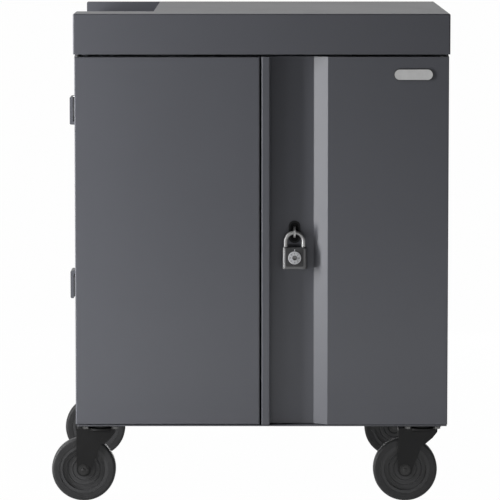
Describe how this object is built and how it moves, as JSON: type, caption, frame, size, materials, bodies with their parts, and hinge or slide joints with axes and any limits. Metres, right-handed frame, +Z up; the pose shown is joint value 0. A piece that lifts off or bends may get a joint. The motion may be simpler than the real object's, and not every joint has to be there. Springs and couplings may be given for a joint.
{
  "type": "laptop charging cart",
  "caption": "Steel cabinet on swivel casters with swinging front doors, a padlock channel, a rear service door, laptop slots, a power bay and a push handle in its top.",
  "frame": {"origin": "middle of the whole object's footprint, on the floor", "axes": "+X to the cabinet's right as seen from its front, +Y to its back, +Z up"},
  "size_m": [0.8356, 0.686, 1],
  "materials": {
    "cabinet_paint": "satin",
    "frame_paint": "satin",
    "zinc_steel": "satin",
    "caster_paint": "satin",
    "wheel_core": "matte",
    "wheel_tyre": "matte",
    "pedal_plastic": "matte",
    "black_plastic": "matte",
    "nylon": "matte",
    "handle_grip": "satin",
    "lock_steel": "polished",
    "lock_black": "satin",
    "dial_face": "gloss",
    "badge_silver": "satin"
  },
  "bodies": {
    "cabinet": {"base_pan": "cabinet_paint", "corner_posts": "frame_paint", "left_side_panel": "cabinet_paint", "right_side_panel": "cabinet_paint", "top_deck": "frame_paint", "top_lid": "cabinet_paint", "lid_rails": "frame_paint", "handle_well": "cabinet_paint", "push_handle": "handle_grip", "lower_shelf": "frame_paint", "mid_shelf": "frame_paint", "lower_dividers": "frame_paint", "upper_dividers": "frame_paint", "bay_partition": "frame_paint", "power_strips": "black_plastic", "control_box": "black_plastic", "power_inlet": "black_plastic", "cord_hooks": "cabinet_paint", "door_pivot_pins": "zinc_steel", "magnet_catches": "black_plastic", "caster_plates": "caster_paint", "caster_bolts": "zinc_steel", "kingpins": "zinc_steel"},
    "left_door": {"left_door_panel": "cabinet_paint", "left_door_stiffener": "frame_paint", "left_door_bushes": "nylon", "bolt_guides": "black_plastic"},
    "upper_bolt": {"upper_shoot_bolt": "zinc_steel"},
    "lower_bolt": {"lower_shoot_bolt": "zinc_steel"},
    "right_door": {"right_door_panel": "cabinet_paint", "right_door_stiffener": "frame_paint", "right_door_bushes": "nylon", "lock_staple": "zinc_steel", "badge_plate": "badge_silver"},
    "lock_shackle": {"padlock_shackle": "lock_steel"},
    "lock_case": {"padlock_case": "lock_black"},
    "lock_dial": {"padlock_dial": "dial_face"},
    "rear_door": {"rear_door_panel": "cabinet_paint", "rear_door_bushes": "nylon", "rear_lock_body": "zinc_steel"},
    "rear_cam": {"rear_lock_cam": "zinc_steel"},
    "rocker": {"inlet_rocker": "black_plastic"},
    "swivel_front_left": {"fork_front_left": "caster_paint", "axle_front_left": "zinc_steel"},
    "wheel_front_left": {"core_front_left": "wheel_core", "tyre_front_left": "wheel_tyre"},
    "swivel_front_right": {"fork_front_right": "caster_paint", "axle_front_right": "zinc_steel"},
    "wheel_front_right": {"core_front_right": "wheel_core", "tyre_front_right": "wheel_tyre"},
    "swivel_rear_left": {"fork_rear_left": "caster_paint", "axle_rear_left": "zinc_steel"},
    "wheel_rear_left": {"core_rear_left": "wheel_core", "tyre_rear_left": "wheel_tyre"},
    "pedal_rear_left": {"brake_pedal_rear_left": "pedal_plastic"},
    "swivel_rear_right": {"fork_rear_right": "caster_paint", "axle_rear_right": "zinc_steel"},
    "wheel_rear_right": {"core_rear_right": "wheel_core", "tyre_rear_right": "wheel_tyre"},
    "pedal_rear_right": {"brake_pedal_rear_right": "pedal_plastic"}
  },
  "joints": [
    {"name": "left_door", "type": "hinge", "parent": "cabinet", "child": "left_door", "pos_m": [-0.3575, -0.328, 0.1632], "axis": [0, 0, -1], "range_deg": [0, 180]},
    {"name": "right_door", "type": "hinge", "parent": "cabinet", "child": "right_door", "pos_m": [0.382, -0.328, 0.1632], "axis": [0, 0, 1], "range_deg": [0, 180]},
    {"name": "rear_door", "type": "hinge", "parent": "cabinet", "child": "rear_door", "pos_m": [0.38075, 0.324, 0.1632], "axis": [0, 0, -1], "range_deg": [0, 180]},
    {"name": "upper_bolt", "type": "slide", "parent": "left_door", "child": "upper_bolt", "axis": [0, 0, 1], "range_m": [0, 0.016]},
    {"name": "lower_bolt", "type": "slide", "parent": "left_door", "child": "lower_bolt", "axis": [0, 0, -1], "range_m": [0, 0.016]},
    {"name": "padlock_swing", "type": "hinge", "parent": "right_door", "child": "lock_shackle", "pos_m": [0.07925, -0.3302, 0.5556], "axis": [-1, 0, 0], "range_deg": [0, 75]},
    {"name": "padlock_open", "type": "slide", "parent": "lock_shackle", "child": "lock_case", "axis": [0, 0, -1], "range_m": [0, 0.01]},
    {"name": "padlock_dial", "type": "hinge", "parent": "lock_case", "child": "lock_dial", "pos_m": [0.07925, -0.3302, 0.50485], "axis": [0, -1, 0], "continuous": true},
    {"name": "rear_lock", "type": "hinge", "parent": "rear_door", "child": "rear_cam", "pos_m": [-0.32275, 0.335, 0.54], "axis": [0, 1, 0], "range_deg": [0, 90]},
    {"name": "inlet_rocker", "type": "hinge", "parent": "cabinet", "child": "rocker", "pos_m": [-0.36425, 0.23, 0.293], "axis": [0, 1, 0], "range_deg": [0, 16]},
    {"name": "swivel_front_left", "type": "hinge", "parent": "cabinet", "child": "swivel_front_left", "pos_m": [-0.31725, -0.291, 0.16], "axis": [0, 0, 1], "continuous": true},
    {"name": "roll_front_left", "type": "hinge", "parent": "swivel_front_left", "child": "wheel_front_left", "pos_m": [-0.35225, -0.291, 0.0655], "axis": [0, 1, 0], "continuous": true},
    {"name": "swivel_front_right", "type": "hinge", "parent": "cabinet", "child": "swivel_front_right", "pos_m": [0.34175, -0.291, 0.16], "axis": [0, 0, 1], "continuous": true},
    {"name": "roll_front_right", "type": "hinge", "parent": "swivel_front_right", "child": "wheel_front_right", "pos_m": [0.30675, -0.291, 0.0655], "axis": [0, 1, 0], "continuous": true},
    {"name": "swivel_rear_left", "type": "hinge", "parent": "cabinet", "child": "swivel_rear_left", "pos_m": [-0.31725, 0.291, 0.16], "axis": [0, 0, 1], "continuous": true},
    {"name": "roll_rear_left", "type": "hinge", "parent": "swivel_rear_left", "child": "wheel_rear_left", "pos_m": [-0.35225, 0.291, 0.0655], "axis": [0, 1, 0], "continuous": true},
    {"name": "brake_rear_left", "type": "hinge", "parent": "swivel_rear_left", "child": "pedal_rear_left", "pos_m": [-0.28125, 0.291, 0.127], "axis": [0, 1, 0], "range_deg": [0, 15]},
    {"name": "swivel_rear_right", "type": "hinge", "parent": "cabinet", "child": "swivel_rear_right", "pos_m": [0.34175, 0.291, 0.16], "axis": [0, 0, 1], "continuous": true},
    {"name": "roll_rear_right", "type": "hinge", "parent": "swivel_rear_right", "child": "wheel_rear_right", "pos_m": [0.30675, 0.291, 0.0655], "axis": [0, 1, 0], "continuous": true},
    {"name": "brake_rear_right", "type": "hinge", "parent": "swivel_rear_right", "child": "pedal_rear_right", "pos_m": [0.37775, 0.291, 0.127], "axis": [0, 1, 0], "range_deg": [0, 15]}
  ]
}
